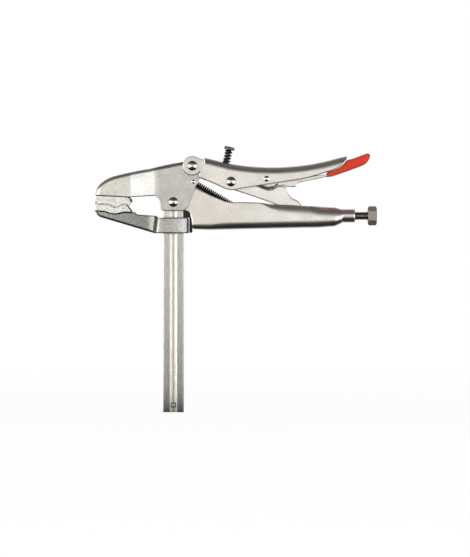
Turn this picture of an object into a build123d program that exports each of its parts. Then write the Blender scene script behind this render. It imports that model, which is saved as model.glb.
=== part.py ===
from build123d import *
from math import ceil, cos, pi, radians, sin, sqrt
import os

# Locking bar clamp: toggle-action pliers on a fluted steel bar with a sliding lower jaw.
# Millimetres. The bar stands along +Z with its lower end centred on the origin, the handles point
# along +X, and Y runs across the clamp, which is symmetric about Y = 0.

# ---------------------------------------------------------------- driving dimensions

# sliding rail
bar_width = 19.5
bar_thickness = 9.5
bar_above_pivot = 9.0
bar_chamfer = 0.7
bar_seat_radius = 8.0
groove_mouth = 6.6
groove_floor = 2.6
groove_depth = 1.6
stop_pin_radius = 2.2
stop_pin_height = 6.7
stop_pin_inset = 0.2

# pivots: the first is a height on the bar's centre line, the others are steps from pivot to pivot
jaw_pivot_height = 199.2
lever_pivot_step = (18.0, 34.3)
link_pivot_step = (36.7, -15.0)
link_foot_step = (68.4, -31.3)
release_pivot_step = (70.3, -12.2)
anchor_pin_step = (18.9, 19.3)
screw_axis_drop = 12.9
handle_reach = 172.5

# sheet metal
handle_sheet = 3.0
head_sheet = 2.8
head_bend = 4.0
lever_sheet = 2.5
lever_bend = 7.2
lever_inner_bend = 3.0
lever_ear_radius = 9.0
release_sheet = 2.0
release_nose_bend = 3.5

# forged and solid pieces
jaw_arm_half = 6.5
belly_bevel = 1.8
back_bevel = 0.8
collar_side_wall = 5.75
collar_wall = 4.7
collar_drop = 14.9
collar_height = 14.5
collar_bore_gap = 0.2
key_width = 3.2
key_depth = 1.0
block_leg = 2.95
nose_step = 2.0
tooth_inset = 0.75
tooth_gap = 0.5
tooth_pitch = 2.7
tooth_height = 1.1

# rivets, pins and bushes
big_shank = 3.5
big_head = 4.6
small_shank = 1.9
small_head = 2.7
anchor_shank = 1.25
anchor_head = 1.9
dome_height = 1.9
bush_wall = 1.8

# adjusting screw
thread_radius = 3.95
thread_pitch = 1.25
thread_depth = 0.7
screw_visible = 12.0
hex_across_flats = 15.8
hex_length = 8.5
neck_radius = 6.5
neck_length = 12.4
link_foot_radius = 4.0
link_foot_gap = 2.3

# limit screw on the lever's back
limit_tilt = 12.0
limit_shank = 2.0
limit_head_radius = 5.0
limit_head_height = 3.0
limit_stand = 12.8
limit_nut_flats = 7.0
limit_nut_height = 3.2
limit_spring_wire = 1.4
limit_spring_radius = 3.05
limit_spring_turns = 4.5

# opening spring
spring_wire = 1.3
spring_radius = 3.0
spring_pitch = 2.0
spring_turns = 24
spring_slope = 30.4
spring_lead = 4.0
hook_radius = 2.2
hook_pin_radius = 1.4

# red sleeve
sleeve_wall = 1.45
sleeve_round = 2.0

# clearances
face_gap = 0.15
press_gap = 0.05
pin_gap = 0.05
free_gap = 0.3
bend_step = 0.25
seam_half = 0.4

# ---------------------------------------------------------------- derived levels and places

bar_half = bar_thickness / 2
handle_inner = bar_half + press_gap
handle_outer = handle_inner + handle_sheet
head_inner = handle_outer + face_gap
head_outer = head_inner + head_sheet
ear_inner = head_outer + face_gap
ear_outer = ear_inner + lever_sheet
lever_outer = head_outer
lever_inner = lever_outer - lever_sheet
release_outer = lever_inner - free_gap
release_inner = release_outer - release_sheet
link_half = handle_inner - 0.5
sleeve_half = release_outer + sleeve_wall
nose_outer = head_outer - nose_step
nose_inner = head_inner - nose_step
tooth_half = nose_outer - tooth_inset
collar_half = bar_half + collar_side_wall


def step(place, offset):
    return (place[0] + offset[0], place[1] + offset[1])


jaw_pivot = (0.0, jaw_pivot_height)
lever_pivot = step(jaw_pivot, lever_pivot_step)
link_pivot = step(lever_pivot, link_pivot_step)
link_foot = step(link_pivot, link_foot_step)
release_pivot = step(lever_pivot, release_pivot_step)
anchor_pin = step(jaw_pivot, anchor_pin_step)
screw_height = jaw_pivot_height - screw_axis_drop
rod_tip = link_foot[0] + link_foot_radius + link_foot_gap
neck_end = jaw_pivot[0] + handle_reach
neck_base = handle_reach - neck_length
cheek_slope = (jaw_pivot[0] - 40.4, jaw_pivot[0] - 17.6)
ear_slope = (lever_pivot[0] + 9.6, lever_pivot[0] + 31.0)
tube_shoulder = neck_base - 6.6
slot_end = link_foot[0] + 6.0
rod_end = neck_end + screw_visible + hex_length
collar_right = bar_width / 2 + collar_wall
collar_top = jaw_pivot_height - collar_drop
collar_bottom = collar_top - collar_height
limit_axis = (-sin(radians(limit_tilt)), cos(radians(limit_tilt)))
limit_seat = step(lever_pivot, (32.1, 2.95))

FAR = 400.0


# ---------------------------------------------------------------- outline and solid helpers


def placed(origin, points):
    """Shift an outline given from a pivot to where that pivot is. A third number is a bulge."""
    return [(origin[0] + p[0], origin[1] + p[1], *p[2:]) for p in points]


def turned(chain):
    """The same chain of points walked the other way, with each bulge kept on its own side."""
    bulges = [-p[2] if len(p) == 3 else 0.0 for p in chain[:-1]]
    back = [(chain[-1][0], chain[-1][1], bulges[-1])]
    for point, bulge in zip(reversed(chain[:-1]), [*reversed(bulges[:-1]), 0.0]):
        back.append((point[0], point[1], bulge))
    return back


def middle(start, end, bulge):
    """The point halfway along an arc that rises by bulge to the left of start to end."""
    along = (end - start).normalized()
    left = Vector(-along.Z, 0, along.X)
    return (start + end) * 0.5 + left * bulge


def chain_edges(points, y):
    """Lines and arcs through outline points at y. A point's third number bulges its next side."""
    edges = []
    for start, end in zip(points, points[1:]):
        a = Vector(start[0], y, start[1])
        b = Vector(end[0], y, end[1])
        if len(start) == 3 and start[2]:
            edges.append(Edge.make_three_point_arc(a, middle(a, b, start[2]), b))
        else:
            edges.append(Edge.make_line(a, b))
    return edges


def outline(points, y):
    """Closed face in the XZ plane at y."""
    return Face(Wire(chain_edges(points + points[:1], y)))


def slab(points, y0, y1):
    """An XZ outline given thickness from y0 to y1."""
    return extrude(outline(points, y0), amount=y1 - y0, dir=(0, 1, 0))


def plate(points, half):
    return slab(points, -half, half)


def plan_prism(points, z0, z1):
    """An XY outline given height from z0 to z1."""
    return extrude(Pos(0, 0, z0) * make_face(Polyline(*points, close=True)), amount=z1 - z0)


def both_sides(solid):
    return [solid, mirror(solid, about=Plane.XZ)]


def rod_y(place, radius, y0, y1):
    """Round bar along Y from y0 to y1."""
    return Pos(place[0], (y0 + y1) / 2, place[1]) * Rot(90, 0, 0) * Cylinder(radius, y1 - y0)


def rod_x(x0, x1, z, radius):
    """Round bar along X from x0 to x1 at height z."""
    return Pos((x0 + x1) / 2, 0, z) * Rot(0, 90, 0) * Cylinder(radius, x1 - x0)


def block(x0, x1, half, z0, z1):
    return Pos((x0 + x1) / 2, 0, (z0 + z1) / 2) * Box(x1 - x0, 2 * half, z1 - z0)


def side_edges(solid, chain, half):
    """Edges of a plate that follow a chain of outline points on its two faces."""
    spots = []
    for start, end in zip(chain, chain[1:]):
        bulge = start[2] if len(start) == 3 else 0.0
        for y in (-half, half):
            a = Vector(start[0], y, start[1])
            b = Vector(end[0], y, end[1])
            spots.append(middle(a, b, bulge))
    return [e for e in solid.edges() if any(e.distance_to(spot) < 0.001 for spot in spots)]


def height_over(chain, x):
    """Height above the pivot of an outline chain that runs along +X, at x."""
    slack = 1e-6
    for edge in chain_edges(chain, 0.0):
        low, high = 0.0, 1.0
        if (edge @ low).X - slack <= x <= (edge @ high).X + slack:
            while high - low > 1e-9:
                half = (low + high) / 2
                low, high = (half, high) if (edge @ half).X < x else (low, half)
            return (edge @ low).Z - jaw_pivot_height


def cross_section(x, half, low, high, low_round, high_round):
    """Upright face at x, between two heights above the pivot, with corners as high as asked.

    A corner is a quarter circle, or a quarter ellipse where the half width is less than its height.
    """
    arcs = []
    ends = []
    for level, tall, up in ((low, low_round, -1), (high, high_round, 1)):
        z = jaw_pivot_height + level
        deep = min(tall, half - seam_half)
        side = Vector(x, half, z - up * tall)
        flat = Vector(x, half - deep, z)
        if deep < tall:
            corner = Plane(origin=(x, half - deep, z - up * tall), x_dir=(0, 1, 0), z_dir=(1, 0, 0))
            turn = (0, 90) if up > 0 else (-90, 0)
            arcs.append(Edge.make_ellipse(deep, tall, corner, *turn))
        else:
            reach = tall * (1 - sqrt(0.5))
            arcs.append(Edge.make_three_point_arc(side, Vector(x, half - reach, z - up * reach), flat))
        ends.append((side, flat))
    right = [arcs[0], Edge.make_line(ends[0][0], ends[1][0]), arcs[1]]
    left = [edge.mirror(Plane.XZ) for edge in right]
    across = [Edge.make_line(flat, Vector(x, -flat.Y, flat.Z)) for side, flat in ends]
    return Face(Wire(right + left + across))


def sloped_stretch(chain, ends, halves, bend):
    """Sheet body under a chain from x to x whose half width changes evenly, bent a little tighter."""
    faces = []
    stretches = 5
    for i in range(stretches + 1):
        x, half = (a + (b - a) * i / stretches for a, b in (ends, halves))
        faces.append(cross_section(x, half, -30.0, height_over(chain, x), 1.0, bend - bend_step))
    return loft(faces, ruled=True)


def rounded_plate(points, half, chain, radius):
    """A plate whose face edges along one chain of its outline are rounded."""
    blank = plate(points, half)
    return fillet(side_edges(blank, chain, half), radius)


def domed_rivet(place, shank, head, grip_half):
    """Shank along Y with a low dome on each end."""
    rim = 0.35
    top = grip_half + dome_height * head / big_head
    crown = Edge.make_tangent_arc((0, top, 0), (1, 0, 0), (head, grip_half + rim, 0))
    below = [(head, grip_half + rim), (head, grip_half), (shank, grip_half), (shank, 0), (0, 0), (0, top)]
    sides = Polyline(*below)
    half = revolve(make_face([crown, *sides.edges()]), Axis.Y)
    return Pos(place[0], 0, place[1]) * (half + mirror(half, about=Plane.XZ))


def ring_y(place, outer, inner, y0, y1):
    return rod_y(place, outer, y0, y1) - rod_y(place, inner, y0 - 1, y1 + 1)


# ---------------------------------------------------------------- wound wire


def biarc(start, leaving, end, arriving):
    """Two arcs that join two points with given unit directions and no kink."""
    chord = end - start
    both = leaving + arriving
    weight = 4 - both.dot(both)
    reach = (sqrt(chord.dot(both) ** 2 + weight * chord.dot(chord)) - chord.dot(both)) / weight
    near = start + leaving * reach
    far = end - arriving * reach
    joint = (near + far) * 0.5
    return [
        Edge.make_tangent_arc(start, leaving, joint),
        Edge.make_tangent_arc(joint, (far - near).normalized(), end),
    ]


def helix_station(base, axis, across, radius, pitch, angle):
    """Point and unit direction on a helix at an angle in radians."""
    other = axis.cross(across)
    outward = across * cos(angle) + other * sin(angle)
    forward = across * -sin(angle) + other * cos(angle)
    point = base + axis * (pitch * angle / (2 * pi)) + outward * radius
    return point, (axis * (pitch / (2 * pi)) + forward * radius).normalized()


def coil_edges(base, axis, across, radius, pitch, turns):
    """Biarcs of half a turn along a helix, with its first and last stations."""
    halves = round(2 * turns)
    stations = [helix_station(base, axis, across, radius, pitch, pi * i) for i in range(halves + 1)]
    edges = []
    for (a, da), (b, db) in zip(stations, stations[1:]):
        edges += biarc(a, da, b, db)
    return edges, stations[0], stations[-1]


def wire_tube(edges, wire):
    """One unbroken round wire along joined edges."""
    path = Wire(edges)
    start = Plane(origin=path @ 0, z_dir=path % 0)
    return sweep(sections=start * Circle(wire / 2), path=path)


def report_gap(name, edges, wire):
    """Print the least gap between stretches of wire that aren't next to each other."""
    samples = 6
    points = [edge @ (i / samples) for edge in edges for i in range(samples)]
    run = [0.0]
    for a, b in zip(points, points[1:]):
        run.append(run[-1] + (b - a).length)
    least = FAR
    for i, a in enumerate(points):
        for j in range(i + 1, len(points)):
            if run[j] - run[i] > 4 * wire:
                least = min(least, (points[j] - a).length)
    print(f"{name}: least gap to itself {least - wire:.2f} mm")


# ---------------------------------------------------------------- shared outlines

head_top = [(-73.7, 6.7, 1.33), (-69.7, 17.2, 1.01), (-55.5, 25.0, 0.42), (-22.2, 31.8, 0.32), (7.2, 38.0)]
lever_top = [(12.0, 7.8, 0.21), (26.2, 4.4, -7.31), (140.2, 8.3), (146.4, 9.5)]
handle_top = [(49.0, 1.0, -0.7), (63.3, 0.0), (82.3, -0.5), (91.8, -1.9)]
handle_top += [(tube_shoulder, -4.8), (neck_base, -6.7)]
handle_bottom = [(neck_base, -20.0), (tube_shoulder, -23.1), (tube_shoulder - 14.2, -24.2)]
handle_bottom += [(34.8, -26.3), (19.1, -25.7)]


def tooth_line():
    """The wavy line on which the two rows of teeth meet, from the nose towards the bar."""
    nose, heel, level = -74.6, -42.3, -2.1
    notch, notch_half, notch_dip = -54.6, 7.0, 3.0
    hook = [(nose, -0.7), (nose + 2.4, -0.7), (nose + 3.8, -2.3), (nose + 6.6, -1.6)]
    teeth = []
    first, last = nose + 7.6, heel - 1.0
    count = 2 * round((last - first) / tooth_pitch)
    for i in range(count + 1):
        x = first + (last - first) * i / count
        inside = max(0.0, 1 - abs(x - notch) / notch_half)
        dip = notch_dip * sin(inside * pi / 2) ** 1.5
        side = 0.5 if i % 2 else -0.5
        teeth.append((x, level - dip + side * tooth_height))
    return placed(jaw_pivot, hook + teeth + [(heel, level - 1.7)])


# ---------------------------------------------------------------- frame: bar, handle, block, pins


def make_slide_bar():
    top = jaw_pivot_height + bar_above_pivot
    half_width = bar_width / 2
    c = bar_chamfer
    mouth, floor, depth = groove_mouth / 2, groove_floor / 2, bar_half - groove_depth
    quarter = [(floor, depth), (mouth, bar_half), (half_width - c, bar_half), (half_width, bar_half - c)]
    right = quarter + [(x, -y) for x, y in reversed(quarter)]
    section = right + [(-x, y) for x, y in reversed(right)]
    bar = plan_prism(section, 0, top)
    strip = block(-groove_mouth / 2, groove_mouth / 2, bar_half, 0, top)
    bar = bar + (strip & rod_y(jaw_pivot, bar_seat_radius, -FAR, FAR))
    bar = bar - rod_y(jaw_pivot, big_shank + pin_gap, -FAR, FAR)
    return bar - rod_y((0, stop_pin_height), stop_pin_radius, -FAR, FAR)


def make_bar_stop_pin():
    reach = bar_half - stop_pin_inset
    pin = rod_y((0, stop_pin_height), stop_pin_radius, -reach, reach)
    return chamfer(pin.edges().filter_by(GeomType.CIRCLE), 0.3)


def handle_channel():
    """Front half of the handle's outside: flat cheeks over a web with small bends."""
    start, neck = jaw_pivot[0] - 12.0, handle_top[2][0]
    rows = [(start, -25.2, 4.2), (34.8, -26.3, 6.0), (50.0, -26.0, 7.2), (neck, -25.35, 7.2)]
    faces = [cross_section(x, handle_outer, low, 40.0, bend, 0.5) for x, low, bend in rows]
    return loft(faces, ruled=True)


def handle_tube():
    """Rear half of the handle's outside, where the sheet closes to a tube.

    Over the slot the sections rise past the handle's top line, which then trims the rounded cheeks at
    the slot's edges.
    """
    start, narrow = handle_top[2][0], handle_outer - 0.9
    faces = [
        cross_section(start, handle_outer, -25.35, -0.5, 7.2, 0.5),
        cross_section(start + 9.5, handle_outer, -25.15, -1.4, 7.3, 5.0),
        cross_section(start + 15.5, handle_outer, -25.03, -0.6, 7.4, 8.2),
        cross_section(start + 24.0, handle_outer, -24.86, -0.6, 7.4, 10.2),
        cross_section(slot_end, handle_outer, -24.4, -1.6, 7.3, 11.2),
        cross_section(tube_shoulder - 14.2, handle_outer, -24.2, -4.13, 7.3, 10.2),
        cross_section(tube_shoulder, handle_outer, -23.1, -4.8, 7.0, 10.2),
        cross_section(neck_base, narrow, -20.0, -6.7, 6.2, 7.0),
    ]
    return loft(faces, ruled=True)


def make_fixed_handle():
    front = [(20.6, 13.9, -0.5), *handle_top]
    nose = [(18.3, -24.4, -0.09), (16.2, -11.6, -0.74), (12.0, -8.5), (8.8, -7.4), (-10.4, -7.4)]
    boss = [(-10.4, 3.5, 3.2), (4.0, 10.4)]
    points = placed(jaw_pivot, front + handle_bottom + nose + boss)
    blank = plate(points, handle_outer + 1) & (handle_channel() + handle_tube())
    tube_end = neck_end - neck_length - 5.0
    roof = jaw_pivot_height - 4.6 - handle_sheet
    floor = jaw_pivot_height - 25.9 + handle_sheet
    hollow = [
        (-FAR, FAR),
        (slot_end, FAR),
        (slot_end, roof),
        (tube_end, roof - 0.8),
        (tube_end, floor + 2.8),
        (slot_end - 39.0, floor),
        (-FAR, floor),
    ]
    body = blank - plate(hollow, handle_inner)
    neck = rod_x(neck_end - neck_length - 4.0, neck_end, screw_height, neck_radius)
    neck = chamfer(neck.edges().filter_by(GeomType.CIRCLE).sort_by(Axis.X)[-1], 0.8)
    body = body + neck
    body = body - rod_x(neck_end - neck_length - 8.0, neck_end + 1, screw_height, thread_radius + pin_gap)
    body = body - rod_y(jaw_pivot, big_shank + pin_gap, -FAR, FAR)
    return body + rod_y(hook_pin(), hook_pin_radius, -handle_inner - 0.5, handle_inner + 0.5)


def make_bar_anchor_block():
    left = bar_width / 2 + press_gap
    leg = collar_right + 2 * free_gap
    corner = 1.4
    top = jaw_pivot_height - 7.6
    shelf = jaw_pivot_height - 22.7
    bottom = jaw_pivot_height - 29.0
    points = [
        (left, collar_top + free_gap),
        (left, top),
        (left + 20.0, top),
        (left + 20.0, shelf),
        (leg + block_leg, shelf),
        (leg + block_leg, bottom + corner, 0.3 * corner),
        (leg + block_leg - corner, bottom),
        (leg, bottom),
        (leg, collar_top + free_gap),
    ]
    return plate(points, handle_inner - press_gap)


def make_jaw_pivot_rivet():
    return domed_rivet(jaw_pivot, big_shank, big_head, head_outer + press_gap)


# ---------------------------------------------------------------- opening spring


def spring_directions():
    """Unit vectors along the spring and square to it, in the clamp's mid plane."""
    slope = radians(spring_slope)
    return Vector(cos(slope), 0, -sin(slope)), Vector(-sin(slope), 0, -cos(slope))


def hook_pin():
    """Centre of the pin inside the handle that holds the lower hook."""
    along, below = spring_directions()
    reach = 2 * spring_lead + spring_pitch * spring_turns
    return (anchor_pin[0] + along.X * reach, anchor_pin[1] + along.Z * reach)


def hook_edges(centre, along, below, first):
    """Three quarter arcs round a pin; the wire passes straight below the pin at 0 degrees."""
    edges = []
    for quarter in range(3):
        angles = [radians(first + 90 * quarter + 45 * i) for i in range(3)]
        spots = [centre + (below * cos(a) + along * sin(a)) * hook_radius for a in angles]
        edges.append(Edge.make_three_point_arc(*spots))
    return edges


def make_opening_spring():
    along, below = spring_directions()
    upper = Vector(anchor_pin[0], 0, anchor_pin[1])
    lower = Vector(hook_pin()[0], 0, hook_pin()[1])
    coil, first, last = coil_edges(
        upper + along * spring_lead, along, below, spring_radius, spring_pitch, spring_turns
    )
    edges = hook_edges(upper, along, below, -270)
    edges += biarc(upper + below * hook_radius, along, *first)
    edges += coil
    edges += biarc(*last, lower + below * hook_radius, along)
    edges += hook_edges(lower, along, below, 0)
    report_gap("opening_spring", edges, spring_wire)
    return wire_tube(edges, spring_wire)


# ---------------------------------------------------------------- upper jaw


def head_outline():
    ear = 8.3
    x, z = lever_pivot_step
    entry = (x + ear * cos(radians(150)), z + ear * sin(radians(150)), ear * (1 - cos(radians(100))))
    leave = (x + ear * cos(radians(-50)), z + ear * sin(radians(-50)))
    right = [(24.8, 23.1), (22.9, 19.8), (18.1, 7.9), (14.6, 0.3), (13.4, -4.5, -0.3), (10.1, -8.0)]
    throat = [(-9.9, -7.9, 0.4), (-12.4, -5.4), (-12.7, -1.1), (-13.4, 2.2, -0.5), (-17.5, 6.2)]
    lower = [(-22.2, 6.2), (-43.1, 4.8)]
    return placed(jaw_pivot, head_top + [entry, leave] + right + throat + lower)


def cheek_plan(nose, rear):
    """Plan outline of the head: narrow at the nose, with a long slope to its width at the pivot."""
    x0, x1 = cheek_slope
    upper = [(-FAR, nose), (x0, nose), (x1, rear), (FAR, rear)]
    return upper + [(x, -y) for x, y in reversed(upper)]


def head_blank():
    """Outside of the head: rounded plates for nose and rear, with a sloped stretch between them."""
    chain = placed(jaw_pivot, head_top)
    z0, z1 = jaw_pivot_height - FAR, jaw_pivot_height + FAR
    x0, x1 = cheek_slope
    nose = rounded_plate(head_outline(), nose_outer, chain, head_bend) & block(-FAR, x0, FAR, z0, z1)
    rear = rounded_plate(head_outline(), head_outer, chain, head_bend) & block(x1, FAR, FAR, z0, z1)
    slope = sloped_stretch(chain, (x0, x1), (nose_outer, head_outer), head_bend)
    return nose + (slope & plate(head_outline(), FAR)) + rear


def make_upper_jaw_head():
    blank = head_blank()
    z0, z1 = jaw_pivot_height - FAR, jaw_pivot_height + FAR
    web_end = lever_pivot[0] - 6.5
    ceiling = [(x, z - head_sheet, *b) for x, z, *b in placed(jaw_pivot, head_top)]
    ceiling[0] = (ceiling[0][0] + head_sheet, ceiling[0][1] + head_sheet, 1.0)
    ceiling[1] = (ceiling[1][0] + head_sheet, ceiling[1][1], 0.8)
    floor = jaw_pivot_height - FAR
    under = ceiling + [(web_end, ceiling[-1][1]), (web_end, jaw_pivot_height + FAR)]
    under += [(FAR, jaw_pivot_height + FAR), (FAR, floor), (ceiling[0][0], floor)]
    body = blank - (plate(under, head_inner) & plan_prism(cheek_plan(nose_inner, head_inner), z0, z1))
    for place, radius in ((jaw_pivot, big_shank), (lever_pivot, big_shank), (anchor_pin, anchor_shank)):
        body = body - rod_y(place, radius + pin_gap, -FAR, FAR)
    return body


def make_upper_jaw_teeth():
    low = [(x, z + tooth_gap / 2) for x, z in tooth_line()]
    heel = placed(jaw_pivot, [(-40.7, -1.8), (-39.9, 1.4)])
    seat = placed(jaw_pivot, [(-40.6, 3.2, 0.3), (-43.4, 4.7), (-74.0, 6.4)])
    body = plate(low + heel + seat, tooth_half)
    tang = placed(jaw_pivot, [(-69.6, 4.0), (-45.0, 4.0), (-45.0, 10.0), (-69.6, 10.0)])
    return body + plate(tang, nose_inner - press_gap)


def make_lever_pivot_rivet():
    return domed_rivet(lever_pivot, big_shank, big_head, ear_outer + press_gap)


def make_lever_pivot_bush():
    reach = head_inner - press_gap
    return ring_y(lever_pivot, big_shank + bush_wall, big_shank + pin_gap, -reach, reach)


def make_spring_anchor_pin():
    return domed_rivet(anchor_pin, anchor_shank, anchor_head, head_outer + press_gap)


# ---------------------------------------------------------------- lever handle


def lever_outline():
    lower = [
        (146.7, 8.0, 0.4),
        (142.4, 1.0, 0.65),
        (127.9, -5.3, 0.52),
        (102.2, -12.5, -0.1),
        (45.2, -21.4, 1.29),
        (31.0, -21.3, -0.41),
        (6.3, -10.9),
        (7.7, -5.7),
    ]
    front = [(0.0, 0.0), (4.4, 7.6), (10.5, 5.7)]
    return placed(lever_pivot, lever_top + lower + front)


def ear_plan(ear_level, body_level):
    """Plan outline of the lever's front: level at the ears, then narrowing to the body's level."""
    x0, x1 = ear_slope
    upper = [(-FAR, ear_level), (x0, ear_level), (x1, body_level), (FAR, body_level)]
    return upper + [(x, -y) for x, y in reversed(upper)]


def half_width_at(x, ear_level, body_level):
    """Half width of the narrowing front at x."""
    x0, x1 = ear_slope
    return ear_level + (body_level - ear_level) * (x - x0) / (x1 - x0)


def lever_shell(inset, bend):
    """The lever behind its ears: the outside at no inset, and the hollow under it at the sheet's."""
    z0, z1 = jaw_pivot_height - FAR, jaw_pivot_height + FAR
    top = [(x, z - inset, *b) for x, z, *b in placed(lever_pivot, lever_top)]
    points = top + [(top[-1][0], z0), (top[0][0], z0)]
    body = lever_outer - inset
    start, end = top[0][0], ear_slope[1]
    rear = rounded_plate(points, body, top[:-1], bend) & block(end, FAR, FAR, z0, z1)
    wide = half_width_at(start, ear_outer - inset, body)
    front = sloped_stretch(top, (start, end), (wide, body), bend)
    return front + rear


def make_lever_handle():
    z0, z1 = jaw_pivot_height - FAR, jaw_pivot_height + FAR
    web_start = lever_pivot[0] + lever_top[0][0]
    front = plate(lever_outline(), ear_outer) & block(-FAR, web_start, ear_outer, z0, z1)
    ears = front + rod_y(lever_pivot, lever_ear_radius, -ear_outer, ear_outer)
    ears = (ears & plan_prism(ear_plan(ear_outer, lever_outer), z0, z1)) - (
        plan_prism(ear_plan(ear_inner, lever_inner), z0, z1)
    )
    body = lever_shell(0.0, lever_bend) & plate(lever_outline(), FAR)
    body = ears + (body - lever_shell(lever_sheet, lever_inner_bend))
    body = body - rod_y(lever_pivot, big_shank + pin_gap, -FAR, FAR)
    body = body - rod_y(link_pivot, big_shank + pin_gap, -FAR, FAR)
    body = body - rod_y(release_pivot, small_shank + pin_gap, -FAR, FAR)
    return body - limit_cylinder(limit_shank + 0.3, -8.0, 8.0)


def make_link_pivot_rivet():
    return domed_rivet(link_pivot, big_shank, big_head, lever_outer + press_gap)


def make_link_spacers():
    near, far = link_half + face_gap, lever_inner - press_gap
    spacer = ring_y(link_pivot, big_shank + bush_wall, big_shank + pin_gap, near, far)
    return Compound(both_sides(spacer))


def make_release_pivot_pin():
    return domed_rivet(release_pivot, small_shank, small_head, lever_outer + press_gap)


# ---------------------------------------------------------------- limit screw


def limit_plane(rise):
    """Plane square to the limit screw's axis, at a height above the lever's back."""
    x = limit_seat[0] + limit_axis[0] * -rise
    z = limit_seat[1] + limit_axis[1] * rise
    across = (limit_axis[1], 0, limit_axis[0])
    return Plane(origin=(x, 0, z), x_dir=across, z_dir=(-limit_axis[0], 0, limit_axis[1]))


def limit_cylinder(radius, low, high):
    return extrude(limit_plane(low) * Circle(radius), amount=high - low)


def make_limit_screw():
    shank = limit_cylinder(limit_shank, -9.5, limit_stand + 0.5)
    head = limit_cylinder(limit_head_radius, limit_stand, limit_stand + limit_head_height)
    rim = head.edges().filter_by(GeomType.CIRCLE).sort_by(Axis.Z)
    head = fillet(rim[-1], limit_head_height * 0.5)
    head = chamfer(head.edges().filter_by(GeomType.CIRCLE).sort_by(Axis.Z)[0], 0.5)
    slot_plane = limit_plane(limit_stand + limit_head_height - 1.0)
    slot = extrude(slot_plane * Rectangle(2 * limit_head_radius + 1, 1.2), amount=3.0)
    return head + shank - slot


def make_limit_screw_nut():
    top = -lever_sheet - 0.15
    square = limit_plane(top - limit_nut_height) * Rectangle(limit_nut_flats, limit_nut_flats)
    nut = extrude(square, amount=limit_nut_height)
    return nut - limit_cylinder(limit_shank + pin_gap, -20.0, 20.0)


def make_limit_screw_spring():
    margin = limit_spring_wire / 2 + 0.15
    base = limit_plane(margin)
    pitch = (limit_stand - 2 * margin) / limit_spring_turns
    side = Vector(0, 1, 0)
    coil, first, last = coil_edges(
        base.origin, base.z_dir, side, limit_spring_radius, pitch, limit_spring_turns
    )
    report_gap("limit_screw_spring", coil, limit_spring_wire)
    return wire_tube(coil, limit_spring_wire)


# ---------------------------------------------------------------- toggle link


def make_toggle_link():
    foot_x, foot_z = link_foot_step
    upper = [(2.0, 7.4), (22.0, -2.6), (25.6, -4.1), (34.2, -7.4, -0.57), (39.9, -6.7), (44.6, -3.8)]
    ramp = [(50.3, -4.4, 0.68), (52.7, -7.6, -0.95), (58.9, -16.2, 1.19), (67.0, -23.0)]
    foot = [(foot_x + 3.2, foot_z + 2.4), (foot_x, foot_z), (foot_x - 2.4, foot_z - 3.2)]
    lower = [(41.8, -21.2, -0.34), (1.9, -7.6), (0.0, 0.0)]
    body = plate(placed(link_pivot, upper + ramp + foot + lower), link_half)
    body = body + rod_y(link_pivot, 7.7, -link_half, link_half)
    body = body + rod_y(link_foot, link_foot_radius, -link_half, link_half)
    return body - rod_y(link_pivot, big_shank + pin_gap, -FAR, FAR)


# ---------------------------------------------------------------- release lever and its sleeve


release_nose = [(62.8, -19.4), (70.6, -22.7, -0.3), (77.6, -21.5), (81.5, -18.4)]


def release_arm_outline():
    lower = [(88.0, -18.6), (89.9, -19.6), (97.9, -19.8), (99.4, -16.6)]
    lower += [(102.2, -15.2, -0.28), (127.5, -10.0)]
    tail = [(132.0, -8.6, -0.35), (160.5, 1.4), (165.0, 7.6), (163.0, 9.8)]
    upper = [(149.0, 4.6), (142.0, -1.6, 0.6), (127.5, -8.0), (103.0, -11.0), (72.0, -7.4), (65.0, -8.0)]
    return placed(lever_pivot, lower + tail + upper + [(61.6, -13.0)] + release_nose)


def make_release_lever():
    arms = plate(release_arm_outline(), release_outer)
    nose_end = lever_pivot[0] + release_nose[-1][0]
    z0, z1 = jaw_pivot_height - FAR, jaw_pivot_height + FAR
    bottom = placed(lever_pivot, [(56.0, -15.9), *release_nose[:3], (84.0, -16.4)])
    sides = [(bottom[-1][0], z1), (bottom[0][0], z1)]
    rolled = rounded_plate(bottom + sides, release_outer, bottom, release_nose_bend)
    front = block(-FAR, nose_end, release_outer + 1, z0, z1)
    arms = (arms - front) + (arms & front & rolled)
    lift = release_sheet
    trough = [
        (60.0, -40.0),
        (97.0, -40.0),
        (97.0, -17.2 + lift),
        (102.2, -15.2 + lift),
        (127.5, -10.0 + lift),
        (160.0, 1.0 + lift),
        (160.0, 20.0),
        (60.0, 20.0),
    ]
    body = arms - plate(placed(lever_pivot, trough), release_inner)
    nose = [(62.8, -18.3), (70.6, -21.4, -0.3), (77.6, -20.6), (77.6, -17.0), (64.0, -16.0)]
    body = body + plate(placed(lever_pivot, nose), release_inner + 0.2)
    return body - rod_y(release_pivot, small_shank + pin_gap, -FAR, FAR)


def make_release_grip():
    lower = [(127.5, -10.6), (132.6, -9.7, -0.35), (163.0, 1.1, -0.81), (168.7, 8.7, -1.03), (166.3, 12.3)]
    upper = [(147.6, 5.4), (146.0, 3.9), (143.2, 0.5, 0.7), (127.5, -5.9)]
    points = placed(lever_pivot, lower + upper)
    blank = rounded_plate(points, sleeve_half, points[: len(lower) + 1], sleeve_round)
    return blank - make_release_lever()


# ---------------------------------------------------------------- sliding jaw


def jaw_seat():
    """Line on which the lower tooth block sits, from the nose towards the bar."""
    nose = [(-74.1, -7.9), (-66.0, -8.3, 0.18), (-60.3, -10.2, -0.53)]
    return placed(jaw_pivot, nose + [(-51.8, -10.4, 0.09), (-46.1, -8.9), (-39.4, -9.5)])


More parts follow.
